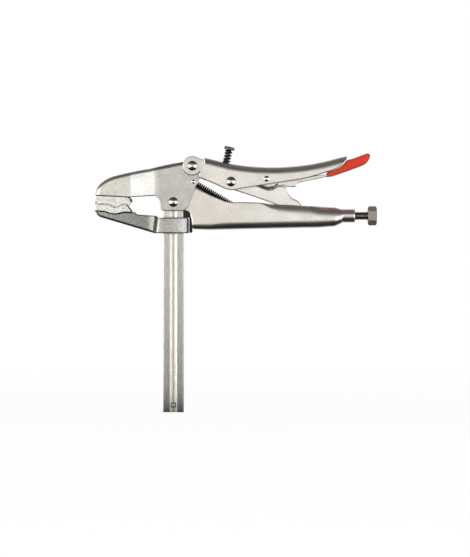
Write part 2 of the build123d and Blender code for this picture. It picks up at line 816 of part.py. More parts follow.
def make_sliding_jaw():
    left = -bar_width / 2
    web = [(-36.8, -9.6), (-33.7, -11.8), (left - 6.6, -13.0), (left - 5.0, -14.4)]
    web += [(left - 5.0, -28.6), (left - 9.8, -29.0)]
    under = [(-69.8, -14.0, 0.79)]
    points = jaw_seat() + placed(jaw_pivot, web + under)
    arm = plate(points, jaw_arm_half)
    belly = placed(jaw_pivot, web[-1:] + under) + jaw_seat()[:1]
    back = jaw_seat()[-1:] + placed(jaw_pivot, web[:3])
    arm = chamfer(side_edges(arm, belly, jaw_arm_half), belly_bevel)
    arm = chamfer(side_edges(arm, back, jaw_arm_half), back_bevel)
    top = [
        (left - 6.5, jaw_arm_half - 0.6),
        (left - 3.4, collar_half),
        (collar_right - 1.8, collar_half),
        (collar_right, collar_half - 3.0),
    ]
    bottom = [
        (left - 9.9, jaw_arm_half - 0.6),
        (left - 5.5, collar_half),
        (collar_right - 0.8, collar_half),
        (collar_right + 0.1, collar_half - 3.0),
    ]
    loops = []
    for half, z in ((top, collar_top), (bottom, collar_bottom)):
        ring = half + [(x, -y) for x, y in reversed(half)]
        loops.append(Pos(0, 0, z) * make_face(Polyline(*ring, close=True)))
    collar = loft(loops, ruled=True)
    rims = [e for z in (collar_top, collar_bottom) for e in collar.edges().filter_by_position(Axis.Z, z, z)]
    collar = chamfer(rims, 0.7)
    body = arm + collar
    window = block(left - collar_bore_gap, -left + collar_bore_gap, bar_half + collar_bore_gap, 0, FAR)
    key_reach = bar_half - key_depth
    key = Pos(0, (FAR + key_reach) / 2, 0) * Box(key_width, FAR - key_reach, 3 * FAR)
    for ridge in both_sides(key):
        window = window - ridge
    return body - window


def make_sliding_jaw_teeth():
    top = [(x, z - tooth_gap / 2) for x, z in tooth_line()]
    heel = placed(jaw_pivot, [(-38.9, -7.4)])
    return plate(top + heel + turned(jaw_seat()), tooth_half)


# ---------------------------------------------------------------- adjusting screw


def make_adjusting_screw_rod():
    plain = rod_end - hex_length - 0.6
    count = ceil((plain - rod_tip - 2.0) / thread_pitch)
    root = thread_radius - thread_depth
    profile = [(rod_tip, 0.0), (rod_tip, root)]
    first = plain - count * thread_pitch
    for i in range(count):
        x = first + i * thread_pitch
        crest = x + thread_pitch * 0.45
        profile += [(x, root), (crest, thread_radius), (crest + thread_pitch * 0.15, thread_radius)]
    tail = rod_end - 0.8
    profile += [(plain, root), (plain, thread_radius), (tail, thread_radius), (tail, 0.0)]
    rod = revolve(make_face(Polyline(*profile, close=True)), Axis.X)
    return Pos(0, 0, screw_height) * rod


def make_adjusting_screw_head():
    start = rod_end - hex_length
    corner = hex_across_flats / 2 / cos(pi / 6)
    hexagon = Plane.YZ * RegularPolygon(corner, 6, major_radius=True, rotation=90)
    blank = extrude(hexagon, amount=hex_length)
    lathe = [
        (0, 0),
        (0, hex_across_flats / 2 - 0.2),
        (1.2, corner + 0.05),
        (hex_length - 1.2, corner + 0.05),
        (hex_length, hex_across_flats / 2 - 0.2),
        (hex_length, 0),
    ]
    rounded = revolve(make_face(Polyline(*lathe, close=True)), Axis.X)
    head = Pos(start, 0, screw_height) * (blank & rounded)
    return head - rod_x(start - 1, rod_end + 1, screw_height, thread_radius + pin_gap)


# ---------------------------------------------------------------- all nodes

NODES = {
    "slide_bar": make_slide_bar,
    "bar_stop_pin": make_bar_stop_pin,
    "fixed_handle": make_fixed_handle,
    "bar_anchor_block": make_bar_anchor_block,
    "jaw_pivot_rivet": make_jaw_pivot_rivet,
    "opening_spring": make_opening_spring,
    "upper_jaw_head": make_upper_jaw_head,
    "upper_jaw_teeth": make_upper_jaw_teeth,
    "lever_pivot_rivet": make_lever_pivot_rivet,
    "lever_pivot_bush": make_lever_pivot_bush,
    "spring_anchor_pin": make_spring_anchor_pin,
    "lever_handle": make_lever_handle,
    "link_pivot_rivet": make_link_pivot_rivet,
    "link_spacers": make_link_spacers,
    "release_pivot_pin": make_release_pivot_pin,
    "limit_screw": make_limit_screw,
    "limit_screw_nut": make_limit_screw_nut,
    "limit_screw_spring": make_limit_screw_spring,
    "toggle_link": make_toggle_link,
    "release_lever": make_release_lever,
    "release_grip": make_release_grip,
    "sliding_jaw": make_sliding_jaw,
    "sliding_jaw_teeth": make_sliding_jaw_teeth,
    "adjusting_screw_rod": make_adjusting_screw_rod,
    "adjusting_screw_head": make_adjusting_screw_head,
}

os.makedirs("parts", exist_ok=True)
for name, make in NODES.items():
    export_step(make(), f"parts/{name}.step")
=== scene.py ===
import math

import bpy
import numpy as np
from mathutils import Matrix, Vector


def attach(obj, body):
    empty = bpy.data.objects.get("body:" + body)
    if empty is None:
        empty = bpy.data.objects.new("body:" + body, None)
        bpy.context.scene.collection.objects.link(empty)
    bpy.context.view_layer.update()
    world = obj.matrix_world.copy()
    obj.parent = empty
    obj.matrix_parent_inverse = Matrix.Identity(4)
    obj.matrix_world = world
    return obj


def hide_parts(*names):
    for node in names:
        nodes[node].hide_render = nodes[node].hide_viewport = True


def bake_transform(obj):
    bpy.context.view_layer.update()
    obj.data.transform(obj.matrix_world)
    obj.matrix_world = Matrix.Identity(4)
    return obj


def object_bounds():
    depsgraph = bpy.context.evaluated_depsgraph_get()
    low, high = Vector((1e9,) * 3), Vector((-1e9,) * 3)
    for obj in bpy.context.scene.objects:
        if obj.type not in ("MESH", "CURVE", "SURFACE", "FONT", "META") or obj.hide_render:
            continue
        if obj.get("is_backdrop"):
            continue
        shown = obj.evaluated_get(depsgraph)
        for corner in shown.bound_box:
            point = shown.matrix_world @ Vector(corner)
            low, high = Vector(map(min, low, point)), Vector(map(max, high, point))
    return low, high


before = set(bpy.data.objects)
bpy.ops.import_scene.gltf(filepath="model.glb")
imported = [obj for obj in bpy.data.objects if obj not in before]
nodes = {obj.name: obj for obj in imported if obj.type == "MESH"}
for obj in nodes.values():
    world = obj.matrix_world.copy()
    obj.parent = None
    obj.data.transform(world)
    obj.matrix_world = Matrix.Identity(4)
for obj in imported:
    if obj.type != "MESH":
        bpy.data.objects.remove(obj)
solid_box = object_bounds()

# The view. A long lens stands level in front of the clamp, square to its cheeks. One pixel of the
# 470 x 557 picture is 0.95 mm on the clamp's middle plane.

middle = Vector((0.0584, 0.0, 0.1268))
distance = 3.0
picture_height = 557 * 0.00095

lens = bpy.data.cameras.new("front_lens")
lens.sensor_fit = "VERTICAL"
lens.sensor_height = 24.0
lens.lens = 24.0 * distance / picture_height
lens.clip_start = 0.05
camera = bpy.data.objects.new("front_camera", lens)
bpy.context.scene.collection.objects.link(camera)
camera.location = middle + Vector((0.0, -distance, 0.0))
camera.rotation_euler = (math.pi / 2, 0.0, 0.0)
bpy.context.scene.camera = camera
bpy.context.scene.view_settings.view_transform = "Standard"

# The studio. Steel mirrors white card behind the clamp and level with the lens, brighter at the far left
# and right, charcoal card above and black below: flats come out white and rounded edges dark. Two soft
# boxes light it from the left and right, and matt surfaces take more light from above.


def colour(hex_code):
    """Linear RGBA of an sRGB hex colour."""
    parts = [int(hex_code[i : i + 2], 16) / 255 for i in (1, 3, 5)]
    linear = [p / 12.92 if p <= 0.04045 else ((p + 0.055) / 1.055) ** 2.4 for p in parts]
    return (*linear, 1.0)


def add(tree, kind, *inputs, stops=(), **settings):
    """A node with its own settings. inputs pair a socket with a value, or with the output joined to it.

    stops are a ramp's places, each with a hex colour or a grey level.
    """
    node = tree.nodes.new(kind)
    for name, value in settings.items():
        setattr(node, name, value)
    for socket, value in inputs:
        if isinstance(value, bpy.types.NodeSocket):
            tree.links.new(value, node.inputs[socket])
        else:
            node.inputs[socket].default_value = value
    for place, _ in stops[2:]:
        node.color_ramp.elements.new(place)
    for element, (place, tone) in zip(node.color_ramp.elements if stops else (), stops):
        element.position = place
        element.color = colour(tone) if isinstance(tone, str) else (tone, tone, tone, 1.0)
    return node


room = bpy.data.worlds.new("studio_room")
room.use_nodes = True
bpy.context.scene.world = room
tree = room.node_tree
tree.nodes.clear()
gaze = add(tree, "ShaderNodeTexCoord")
parts = add(tree, "ShaderNodeSeparateXYZ", (0, gaze.outputs["Generated"]))
height = add(tree, "ShaderNodeMapRange", (0, parts.outputs["Z"]), (1, -1.0), (2, 1.0))
# The cards by height: 0 is straight down, 0.5 level with the lens and 1 straight up.
cards = add(
    tree,
    "ShaderNodeValToRGB",
    (0, height.outputs[0]),
    stops=[
        (0.0, 0.012),
        (0.36, 0.012),
        (0.455, 1.0),
        (0.54, 1.0),
        (0.62, 0.36),
        (0.74, 0.055),
        (0.91, 0.035),
        (1.0, 0.12),
    ],
)
# Their brightness from side to side: 0 is far left, 0.5 straight ahead and 1 far right.
aside = add(tree, "ShaderNodeMapRange", (0, parts.outputs["X"]), (1, -1.0), (2, 1.0))
side_light = add(
    tree,
    "ShaderNodeValToRGB",
    (0, aside.outputs[0]),
    stops=[(0.28, 2.2), (0.35, 1.15), (0.62, 1.15), (0.76, 1.3)],
)
# A colour mix takes its colours at sockets 6 and 7 and gives the result at socket 2.
front = add(
    tree,
    "ShaderNodeMix",
    (0, 1.0),
    (6, cards.outputs[0]),
    (7, side_light.outputs[0]),
    data_type="RGBA",
    blend_type="MULTIPLY",
)
# White card takes over from behind. High up and low down the other cards reach further back.
steep = add(tree, "ShaderNodeMath", (0, parts.outputs["Z"]), operation="ABSOLUTE")
lean = add(tree, "ShaderNodeMath", (0, steep.outputs[0]), (1, 0.35), operation="MULTIPLY")
depth = add(tree, "ShaderNodeMath", (0, parts.outputs["Y"]), (1, lean.outputs[0]), operation="SUBTRACT")
behind = add(tree, "ShaderNodeValToRGB", (0, depth.outputs[0]), stops=[(0.1, 0.0), (0.6, 1.0)])
mirror_room = add(
    tree,
    "ShaderNodeMix",
    (0, behind.outputs[0]),
    (6, front.outputs[2]),
    (7, (1.0, 1.0, 1.0, 1.0)),
    data_type="RGBA",
)
plain = add(tree, "ShaderNodeValToRGB", (0, height.outputs[0]), stops=[(0.3, 0.2), (0.7, 0.72)])
path = add(tree, "ShaderNodeLightPath")
gloss_or_plain = add(
    tree,
    "ShaderNodeMix",
    (0, path.outputs["Is Glossy Ray"]),
    (6, plain.outputs[0]),
    (7, mirror_room.outputs[2]),
    data_type="RGBA",
)
seen = add(
    tree,
    "ShaderNodeMath",
    (0, path.outputs["Is Camera Ray"]),
    (1, path.outputs["Is Transmission Ray"]),
    operation="MAXIMUM",
)
shown = add(
    tree,
    "ShaderNodeMix",
    (0, seen.outputs[0]),
    (6, gloss_or_plain.outputs[2]),
    (7, (1.0, 1.0, 1.0, 1.0)),
    data_type="RGBA",
)
glow = add(tree, "ShaderNodeBackground", (0, shown.outputs[2]))
add(tree, "ShaderNodeOutputWorld", (0, glow.outputs[0]))


lamp_distance = 1.1


def soft_box(name, turn, rise, width, height, power):
    """A rectangular lamp that faces the clamp from turn degrees to the right of the lens."""
    lamp = bpy.data.lights.new(name, "AREA")
    lamp.shape = "RECTANGLE"
    lamp.size, lamp.size_y, lamp.energy = width, height, power
    stand = bpy.data.objects.new(name, lamp)
    bpy.context.scene.collection.objects.link(stand)
    a, e = math.radians(turn), math.radians(rise)
    aim = Vector((math.sin(a) * math.cos(e), -math.cos(a) * math.cos(e), math.sin(e)))
    stand.location = middle + aim * lamp_distance
    stand.rotation_euler = (-aim).to_track_quat("-Z", "Y").to_euler()


soft_box("left_box", -47.0, 0.0, 1.0, 0.6, 3.1)
soft_box("right_box", 47.0, -3.0, 1.0, 0.7, 3.6)

# The floor. Pale matt board that the bar's lower end stands on. It shows as white, whiter the further
# off it is, and keeps the clamp's soft shadow. The steel mirrors the room's cards and not the board.

board = bpy.data.materials.new("pale_board")
board.use_nodes = True
tree = board.node_tree
tree.nodes.clear()
path = add(tree, "ShaderNodeLightPath")
matt = add(tree, "ShaderNodeBsdfDiffuse", ("Color", colour("#f2f2f0")))
white = add(tree, "ShaderNodeEmission", ("Color", (1.0, 1.0, 1.0, 1.0)), ("Strength", 1.0))
seen = add(
    tree,
    "ShaderNodeMath",
    (0, path.outputs["Is Camera Ray"]),
    (1, path.outputs["Is Transmission Ray"]),
    operation="MAXIMUM",
)
mirrored = add(
    tree,
    "ShaderNodeMath",
    (0, seen.outputs[0]),
    (1, path.outputs["Is Glossy Ray"]),
    operation="MAXIMUM",
)
spot = add(tree, "ShaderNodeTexCoord")
off = add(tree, "ShaderNodeVectorMath", (0, spot.outputs["Object"]), operation="LENGTH")
far = add(tree, "ShaderNodeMapRange", (0, off.outputs[1]), (1, 0.1), (2, 1.6), (3, 0.92), (4, 1.0))
share = add(tree, "ShaderNodeMath", (0, mirrored.outputs[0]), (1, far.outputs[0]), operation="MULTIPLY")
blend = add(tree, "ShaderNodeMixShader", (0, share.outputs[0]), (1, matt.outputs[0]), (2, white.outputs[0]))
add(tree, "ShaderNodeOutputMaterial", (0, blend.outputs[0]))

reach, sunk = 6.0, -0.0004
sheet = bpy.data.meshes.new("floor")
corners = [(x * reach, y * reach, sunk) for x, y in ((-1, -1), (1, -1), (1, 1), (-1, 1))]
sheet.from_pydata(corners, [], [(0, 1, 2, 3)])
sheet.materials.append(board)
floor = bpy.data.objects.new("floor", sheet)
floor.visible_glossy = False
bpy.context.scene.collection.objects.link(floor)
floor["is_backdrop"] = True

# Slide bar and its stop pin. Cold-drawn fluted flat steel, nickel plated: drawing leaves fine streaks
# along it. The flute keeps its cream plate, and the lands, which the jaw and benches rub, are greyer and
# lighter near the top. Flute and lands are painted darker towards the lower end as shade.


def finish_of(name, metallic=1.0):
    """An empty material of one principled shader, its node tree, that shader and Object coordinates."""
    finish = bpy.data.materials.new(name)
    finish.use_nodes = True
    tree = finish.node_tree
    tree.nodes.clear()
    shader = add(tree, "ShaderNodeBsdfPrincipled", ("Metallic", metallic))
    add(tree, "ShaderNodeOutputMaterial", (0, shader.outputs[0]))
    place = add(tree, "ShaderNodeTexCoord")
    return finish, tree, shader, place.outputs["Object"]


def crevice_shaded(tree, tone, dark=0.25, within=0.0024):
    """The colour tone, darkened as painted shade where another face is nearer than within metres."""
    shut = add(tree, "ShaderNodeAmbientOcclusion", ("Distance", within), samples=8)
    line = add(tree, "ShaderNodeValToRGB", (0, shut.outputs["AO"]), stops=[(0.35, dark), (0.8, 1.0)])
    return add(
        tree,
        "ShaderNodeMix",
        (0, 1.0),
        (6, tone),
        (7, line.outputs[0]),
        data_type="RGBA",
        blend_type="MULTIPLY",
    ).outputs[2]


def skin(tree, shader, height, depth, edge=0.0006):
    """Joins a bump of this depth in metres to the shader, over edges rounded to the radius edge."""
    rounded = add(tree, "ShaderNodeBevel", ("Radius", edge), samples=8)
    raised = add(
        tree,
        "ShaderNodeBump",
        ("Strength", 1.0),
        ("Distance", depth),
        ("Height", height),
        ("Normal", rounded.outputs[0]),
    )
    tree.links.new(raised.outputs[0], shader.inputs["Normal"])


def give(finish, *names):
    """Puts the finish on CAD nodes by name."""
    for name in names:
        nodes[name].data.materials.clear()
        nodes[name].data.materials.append(finish)


half_bar = 0.00975
bar_top = 0.208
drawn_bar, tree, shader, place = finish_of("cold_drawn_bar")
# Streaks about 0.8 mm wide and 9 mm long, coarser than real drawing marks so that they show.
streak_place = add(tree, "ShaderNodeMapping", (0, place), ("Scale", (1300.0, 1300.0, 110.0)))
streak = add(
    tree, "ShaderNodeTexNoise", (0, streak_place.outputs[0]), ("Scale", 1.0), ("Detail", 4.0)
)
parts = add(tree, "ShaderNodeSeparateXYZ", (0, place))
lower = add(tree, "ShaderNodeMapRange", (0, parts.outputs["Z"]), (1, 0.0), (2, bar_top))
# The lands' tone: greyer, lighter near the top, and painted darker towards the lower end as shade.
land_tone_and_shade = add(
    tree,
    "ShaderNodeValToRGB",
    (0, lower.outputs[0]),
    stops=[
        (0.0, "#4a4a4c"),
        (0.02, "#6c6b6b"),
        (0.06, "#8d8c8a"),
        (0.13, "#aaa8a4"),
        (0.45, "#c9c7c0"),
        (0.85, "#d9d6cd"),
        (0.92, "#f4f0e6"),
    ],
)
drawn = add(tree, "ShaderNodeValToRGB", (0, streak.outputs[0]), stops=[(0.32, 0.7), (0.66, 1.0)])
aside = add(tree, "ShaderNodeMath", (0, parts.outputs["X"]), operation="ABSOLUTE")
sunk_part = add(tree, "ShaderNodeMapRange", (0, aside.outputs[0]), (1, 0.0), (2, half_bar))
flute = add(
    tree,
    "ShaderNodeValToRGB",
    (0, sunk_part.outputs[0]),
    stops=[(0.12, "#d6d2c6"), (0.16, "#e8e4d9"), (0.32, "#e8e4d9"), (0.36, "#dcd8cc")],
)
# Painted shade: the flute is darker towards the lower end.
flute_shade = add(
    tree,
    "ShaderNodeValToRGB",
    (0, lower.outputs[0]),
    stops=[(0.0, 0.35), (0.03, 0.5), (0.1, 0.8), (0.35, 1.0)],
)
flute_tone = add(
    tree,
    "ShaderNodeMix",
    (0, 1.0),
    (6, flute.outputs[0]),
    (7, flute_shade.outputs[0]),
    data_type="RGBA",
    blend_type="MULTIPLY",
)
land = add(tree, "ShaderNodeMapRange", (0, sunk_part.outputs[0]), (1, 0.34), (2, 0.37))
steel = add(
    tree,
    "ShaderNodeMix",
    (0, land.outputs[0]),
    (6, flute_tone.outputs[2]),
    (7, land_tone_and_shade.outputs[0]),
    data_type="RGBA",
)
tone = add(
    tree,
    "ShaderNodeMix",
    (0, 1.0),
    (6, steel.outputs[2]),
    (7, drawn.outputs[0]),
    data_type="RGBA",
    blend_type="MULTIPLY",
)
tree.links.new(crevice_shaded(tree, tone.outputs[2]), shader.inputs["Base Color"])
shader.inputs["Roughness"].default_value = 0.34
skin(tree, shader, streak.outputs[0], 0.00003)
give(drawn_bar, "slide_bar", "bar_stop_pin")

# Pressed steel pieces: fixed handle, lever, head and release lever. Cold-rolled sheet, stamped, barrel
# tumbled and nickel plated: a warm pale plate with a fine pebbled grain and painted shade in its joints.
# Highlights and shade are also painted along the handle, the lever and the head.


def nickel_plate(name, tones, span, grain_mm, pebble_depth, speckle=0.9, edge=0.0006, dullest=0.4):
    """Satin nickel. tones are stops of colour along X over span, in metres; on the handle, lever and head
    they paint light and shade.

    Pebbles of grain_mm show in colour, in gloss and in height. speckle is the darkest part of the
    grain, dullest its greatest roughness, and edge the radius in metres to which edges shade.
    """
    finish, tree, shader, place = finish_of(name)
    parts = add(tree, "ShaderNodeSeparateXYZ", (0, place))
    along = add(tree, "ShaderNodeMapRange", (0, parts.outputs["X"]), (1, span[0]), (2, span[1]))
    base = add(tree, "ShaderNodeValToRGB", (0, along.outputs[0]), stops=tones)
    pebble = add(
        tree,
        "ShaderNodeTexNoise",
        (0, place),
        ("Scale", 1000.0 / grain_mm),
        ("Detail", 3.0),
        ("Roughness", 0.65),
    )
    cloud = add(tree, "ShaderNodeTexNoise", (0, place), ("Scale", 70.0), ("Detail", 2.0))
    mixed = add(
        tree,
        "ShaderNodeMix",
        (0, 0.35),
        (2, pebble.outputs[0]),
        (3, cloud.outputs[0]),
        data_type="FLOAT",
    )
    grain = add(tree, "ShaderNodeValToRGB", (0, mixed.outputs[0]), stops=[(0.36, speckle), (0.62, 1.0)])
    tone = add(
        tree,
        "ShaderNodeMix",
        (0, 1.0),
        (6, base.outputs[0]),
        (7, grain.outputs[0]),
        data_type="RGBA",
        blend_type="MULTIPLY",
    )
    tree.links.new(crevice_shaded(tree, tone.outputs[2]), shader.inputs["Base Color"])
    dull = add(
        tree,
        "ShaderNodeMapRange",
        (0, mixed.outputs[0]),
        (1, 0.35),
        (2, 0.65),
        (3, dullest),
        (4, dullest - 0.12),
    )
    tree.links.new(dull.outputs[0], shader.inputs["Roughness"])
    skin(tree, shader, pebble.outputs[0], pebble_depth, edge)
    return finish


# The handle's rear tube is painted lighter as a highlight.
handle_plate = nickel_plate(
    "nickel_plated_handle",
    [(0.0, "#f3ede2"), (0.4, "#f2ede3"), (0.6, "#fcf8f0"), (1.0, "#fcf8f0")],
    (0.0, 0.175),
    1.5,
    0.00007,
    speckle=0.84,
    edge=0.0019,
)
# The lever's front end, round the ears, is painted darker in two steps as shade.
lever_plate = nickel_plate(
    "nickel_plated_lever",
    [
        (0.0, "#e6e1d7"),
        (0.14, "#e6e1d7"),
        (0.2, "#ebe6db"),
        (0.282, "#ebe6db"),
        (0.292, "#f4efe6"),
        (1.0, "#f4efe6"),
    ],
    (0.0, 0.17),
    1.2,
    0.00004,
    edge=0.0012,
)
# Along the head: its nose is painted dark as shade, the band where the cheek steps out near-white as a
# painted highlight, and the part by the pivot darker as painted shade.
head_plate = nickel_plate(
    "nickel_plated_head",
    [
        (0.0, "#6f6b65"),
        (0.05, "#8f8a82"),
        (0.075, "#f2ece2"),
        (0.34, "#eee9df"),
        (0.365, "#fbf9f4"),
        (0.56, "#fbf9f4"),
        (0.61, "#d6d3cc"),
        (1.0, "#dcd9d2"),
    ],
    (-0.08, 0.03),
    1.3,
    0.00008,
    speckle=0.74,
    edge=0.0011,
)
give(handle_plate, "fixed_handle")
give(lever_plate, "lever_handle", "release_lever")
give(head_plate, "upper_jaw_head")

# Toggle link and tooth blocks. Blanked or milled from thick plate and left flat, so they are whiter
# than the bent sheet. The teeth keep a rough, gritty skin from heat treatment.

link_plate = nickel_plate(
    "nickel_plated_link", [(0.0, "#f8f3ea"), (1.0, "#fbf7ef")], (0.05, 0.13), 1.2, 0.00004, edge=0.002
)
tooth_plate = nickel_plate(
    "nickel_plated_teeth",
    [(0.0, "#fdf9f1"), (1.0, "#fffcf6")],
    (-0.076, -0.04),
    1.7,
    0.00012,
    speckle=0.62,
)
give(link_plate, "toggle_link")
give(tooth_plate, "upper_jaw_teeth", "sliding_jaw_teeth")

# Sliding jaw. A drop-forged arm welded to a forged collar, shot-blasted and plated: greyer than the
# sheet and coarse. Shade is painted along the weld and on the collar's right side, and highlights beside
# the weld and at the right of the collar's front.

forged_jaw, tree, shader, place = finish_of("plated_forging")
parts = add(tree, "ShaderNodeSeparateXYZ", (0, place))
along = add(tree, "ShaderNodeMapRange", (0, parts.outputs["X"]), (1, -0.076), (2, 0.016))
# Tone along X, with painted highlights either side of the weld and at the right of the collar's front, and
# painted shade on the collar's right side.
base = add(
    tree,
    "ShaderNodeValToRGB",
    (0, along.outputs[0]),
    stops=[
        (0.0, "#c8c7c1"),
        (0.25, "#b6b5ae"),
        (0.55, "#a6a59e"),
        (0.60, "#f4f2ed"),
        (0.665, "#fbf9f4"),
        (0.72, "#cecbc5"),
        (0.80, "#d2cfc9"),
        (0.865, "#e4e1db"),
        (0.92, "#ffffff"),
        (0.957, "#ffffff"),
        (0.967, "#7b7770"),
    ],
)
# Blasted grit of about 2 mm, drawn coarser than the real one so that it shows.
pebble = add(
    tree,
    "ShaderNodeTexNoise",
    (0, place),
    ("Scale", 480.0),
    ("Detail", 4.0),
    ("Roughness", 0.7),
)
grain = add(tree, "ShaderNodeValToRGB", (0, pebble.outputs[0]), stops=[(0.36, 0.66), (0.62, 1.0)])
blasted = add(
    tree,
    "ShaderNodeMix",
    (0, 1.0),
    (6, base.outputs[0]),
    (7, grain.outputs[0]),
    data_type="RGBA",
    blend_type="MULTIPLY",
)
# The weld's middle is 17 mm left of the bar's middle at 177.6 mm up, and it leans with the arm's end.
lean = add(tree, "ShaderNodeMath", (0, parts.outputs["Z"]), (1, 0.105), operation="MULTIPLY")
offset = add(tree, "ShaderNodeMath", (0, parts.outputs["X"]), (1, lean.outputs[0]), operation="SUBTRACT")
centred = add(tree, "ShaderNodeMath", (0, offset.outputs[0]), (1, 0.0357), operation="ADD")
from_weld = add(tree, "ShaderNodeMath", (0, centred.outputs[0]), operation="ABSOLUTE")
# Painted shade: a dark band along the weld.
weld_shade_band = add(
    tree,
    "ShaderNodeMapRange",
    (0, from_weld.outputs[0]),
    (1, 0.0014),
    (2, 0.0021),
    (3, 0.92),
    (4, 0.0),
)
weld_shaded_tone = add(
    tree,
    "ShaderNodeMix",
    (0, weld_shade_band.outputs[0]),
    (6, blasted.outputs[2]),
    (7, colour("#3c3a33")),
    data_type="RGBA",
)
tree.links.new(crevice_shaded(tree, weld_shaded_tone.outputs[2]), shader.inputs["Base Color"])
shader.inputs["Roughness"].default_value = 0.42
skin(tree, shader, pebble.outputs[0], 0.00015, 0.0009)
give(forged_jaw, "sliding_jaw")

# Weld seams. A dark bead of braze holds each tooth block: under the head's lower edge on the upper one,
# and along the arm's seat and down the heel on the lower one. Both sides of the clamp have it. The
# beads' dark colour also stands for the shadow under these edges, as painted shade.


def wire(path, outward, radius, around=12):
    """Rings of a round wire: circles square to the path, each begun on the side outward points to.

    At either end three more circles shrink as a sphere does, and close it with a dome.
    """
    run = np.gradient(path, axis=0)
    run /= np.linalg.norm(run, axis=1, keepdims=True)
    side = outward - (outward * run).sum(1, keepdims=True) * run
    side /= np.linalg.norm(side, axis=1, keepdims=True)
    size = np.broadcast_to(radius, len(path))
    bow = np.radians([80.0, 55.0, 28.0])
    pulled = np.concatenate([np.cos(bow), np.ones(len(path)), np.cos(bow[::-1])])
    pushed = np.concatenate([-np.sin(bow), np.zeros(len(path)), np.sin(bow[::-1])])
    which = np.concatenate([[0] * 3, np.arange(len(path)), [-1] * 3])
    run, side, size, path = run[which], side[which], size[which], path[which]
    turn = np.linspace(0.0, 2 * np.pi, around, endpoint=False)[None, :, None]
    ring = np.cos(turn) * side[:, None] + np.sin(turn) * np.cross(run, side)[:, None]
    return (path + run * (pushed * size)[:, None])[:, None] + ring * (pulled * size)[:, None, None]


def closed_mesh(name, grids):
    """One object over grids of rings in millimetres, each closed by a fan to its end rings' middles."""
    points, faces, count = [], [], 0
    for rings in grids:
        n, m, _ = rings.shape
        points += [rings.reshape(-1, 3), rings[:1].mean(1), rings[-1:].mean(1)]
        row, j = np.arange(n - 1)[:, None] * m, np.arange(m)
        k = (j + 1) % m
        quads = np.stack([row + j, row + k, row + m + k, row + m + j], -1).reshape(-1, 4)
        last = (n - 1) * m
        first_fan = np.stack([k, j, np.full(m, n * m)], -1)
        last_fan = np.stack([last + j, last + k, np.full(m, n * m + 1)], -1)
        faces += (quads + count).tolist() + (np.concatenate([first_fan, last_fan]) + count).tolist()
        count += n * m + 2
    mesh = bpy.data.meshes.new(name)
    mesh.from_pydata((np.concatenate(points) / 1000.0).tolist(), [], faces)
    mesh.shade_smooth()
    piece = bpy.data.objects.new(name, mesh)
    bpy.context.scene.collection.objects.link(piece)
    return piece


def smooth_line(corners, count):
    """Points at even steps along a line of corners, softened with a moving average of five."""
    corners = np.array(corners, float)
    run = np.concatenate([[0.0], np.cumsum(np.linalg.norm(np.diff(corners, axis=0), axis=1))])
    steps = np.linspace(0.0, run[-1], count)
    line = np.stack([np.interp(steps, run, axis) for axis in corners.T], -1)
    padded = np.concatenate([line[:1]] * 2 + [line] + [line[-1:]] * 2)
    return sum(padded[i : i + count] for i in range(5)) / 5


def seam(name, body, corners, depth, radius, swell, finish):
    """Beads on both cheeks, depth off the middle plane, that ripple and swell to their right end."""
    line = smooth_line(corners, 90)
    run = np.linspace(0.0, 1.0, len(line))
    size = radius * (1 + 0.12 * np.sin(run * 95)) + swell * np.clip((run - 0.84) / 0.1, 0, 1)
    up = np.broadcast_to([0.0, 0.3, 1.0], (len(line), 3))
    beads = []
    for side in (-1, 1):
        path = np.stack([line[:, 0], np.full(len(line), side * depth), line[:, 1]], -1)
        beads.append(wire(path, up, size))
    piece = closed_mesh(name, beads)
    piece.data.materials.append(finish)
    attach(piece, body)


# Dark braze, whose colour is also painted shade in the joints.
braze_and_shade, tree, shader, place = finish_of("dark_braze", 0.6)
# Flux and scale in spots of about 1 mm.
ripple = add(tree, "ShaderNodeTexNoise", (0, place), ("Scale", 900.0), ("Detail", 2.0))
tone = add(tree, "ShaderNodeValToRGB", (0, ripple.outputs[0]), stops=[(0.3, "#26231f"), (0.7, "#4a443c")])
tree.links.new(tone.outputs[0], shader.inputs["Base Color"])
shader.inputs["Roughness"].default_value = 0.5

jaw_pivot_up = 199.2
upper_seam = [(-73.6, 6.4), (-58.0, 5.55), (-43.6, 4.75), (-41.2, 3.9), (-40.1, 2.2), (-40.2, 0.4)]
lower_seam = [(-74.0, -8.4), (-66.0, -8.8), (-60.3, -10.6), (-56.0, -11.3), (-51.8, -10.9)]
lower_seam += [(-46.1, -9.5), (-41.0, -9.9), (-39.4, -9.6)]
heel_seam = [(-44.2, -3.1), (-42.6, -4.4), (-41.0, -6.6), (-39.7, -8.9)]
upper_seam = [(x, jaw_pivot_up + z) for x, z in upper_seam]
lower_seam = [(x, jaw_pivot_up + z) for x, z in lower_seam]
heel_seam = [(x, jaw_pivot_up + z) for x, z in heel_seam]
seam("upper_jaw_braze", "upper_jaw", upper_seam, 8.05, 0.42, 0.35, braze_and_shade)
seam("sliding_jaw_braze", "sliding_jaw_body", lower_seam, 6.75, 0.62, 0.15, braze_and_shade)
seam("lower_heel_braze", "sliding_jaw_body", heel_seam, 7.95, 0.5, 0.15, braze_and_shade)

# Rivets, pins and bushes. Turned mild steel, bright plated. The pressed domes mirror the whole room, and
# painted shade darkens the steep edge of each dome and the crevices around it.

rivet_steel, tree, shader, place = finish_of("bright_rivet_steel")
